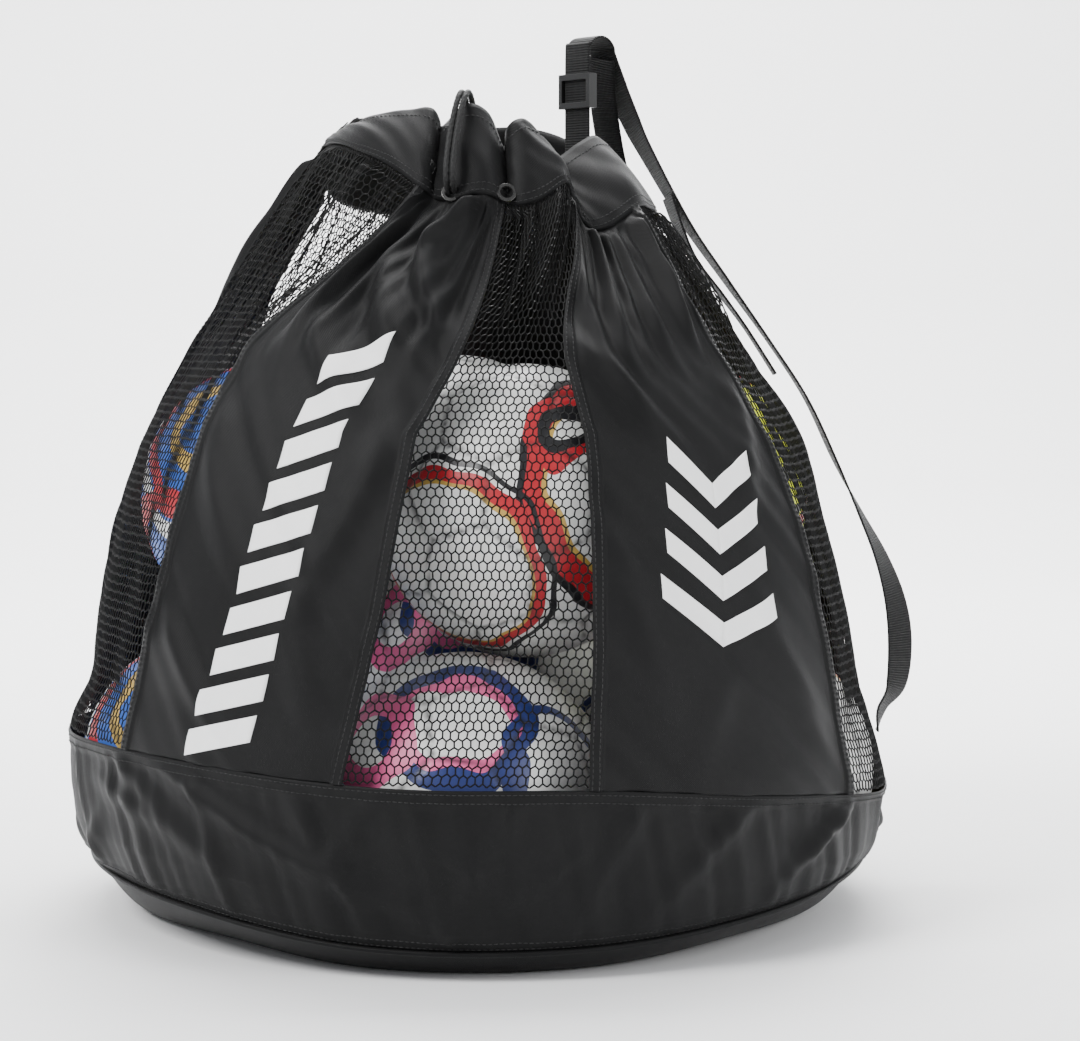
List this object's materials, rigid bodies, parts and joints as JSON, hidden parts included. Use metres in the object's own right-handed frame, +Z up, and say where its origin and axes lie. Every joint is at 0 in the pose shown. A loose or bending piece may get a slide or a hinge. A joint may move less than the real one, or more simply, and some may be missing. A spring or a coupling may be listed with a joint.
{
  "type": "mesh ball bag",
  "caption": "Drawstring ball bag of solid and mesh panels on a solid base, filled with footballs, with a gathered collar, cord lock and adjustable webbing strap.",
  "frame": {"origin": "middle of the base panel's flat underside, on the ground", "axes": "+Z up the bag's axis to its mouth, -Y the front with the cord eyelets, +X the side where the strap hangs"},
  "size_m": [0.6733, 0.651, 0.6899],
  "materials": {
    "nylon": "matt coated woven polyester, black",
    "netting": "knitted hexagonal netting, black",
    "webbing": "ribbed polypropylene webbing, black",
    "cord": "braided cord, black",
    "metal": "black lacquered eyelet",
    "moulding": "black moulded acetal",
    "spring_steel": "drawn wire",
    "piping": "piped seam, black",
    "ball_white_red": "stitched synthetic leather, white with red and black",
    "ball_white_navy": "stitched synthetic leather, white with navy and pink",
    "ball_blue": "stitched synthetic leather, blue with red and white",
    "ball_yellow": "stitched synthetic leather, fluorescent yellow with red and black"
  },
  "bodies": {
    "bag": {"base_panel": "nylon", "bottom_band": "nylon", "base_piping": "piping", "collar": "nylon", "eyelet_cord": "metal", "eyelet_spare": "metal", "drawcord_loop": "cord", "drawcord_end_left": "cord", "drawcord_end_right": "cord", "cord_knot": "cord", "strap_outer_run": "webbing", "strap_inner_run": "webbing", "strap_rear_run": "webbing", "solid_panel_front_right": "nylon", "solid_panel_rear_right": "nylon", "solid_panel_rear_left": "nylon", "solid_panel_front_left": "nylon", "mesh_panel_front": "netting", "mesh_panel_right": "netting", "mesh_panel_rear": "netting", "mesh_panel_left": "netting", "ball_1": "ball_white_navy", "ball_2": "ball_white_red", "ball_3": "ball_yellow", "ball_4": "ball_blue", "ball_5": "ball_blue", "ball_6": "ball_white_navy", "ball_7": "ball_white_red", "ball_8": "ball_yellow", "ball_9": "ball_white_red", "ball_10": "ball_blue"},
    "cord_lock": {"cord_lock_body": "moulding"},
    "lock_button": {"cord_lock_button": "moulding", "cord_lock_spring": "spring_steel"},
    "slider": {"strap_slider": "moulding"}
  },
  "joints": [
    {"name": "cord_lock_slide", "type": "slide", "parent": "bag", "child": "cord_lock", "axis": [0, 0, 1], "range_m": [-0.01, 0.01]},
    {"name": "lock_button_press", "type": "slide", "parent": "cord_lock", "child": "lock_button", "axis": [-1, 0, 0], "range_m": [0, 0.004], "stiffness_N_per_m": 900},
    {"name": "strap_slider_slide", "type": "slide", "parent": "bag", "child": "slider", "axis": [0, 0, 1], "range_m": [-0.01, 0.012]}
  ]
}
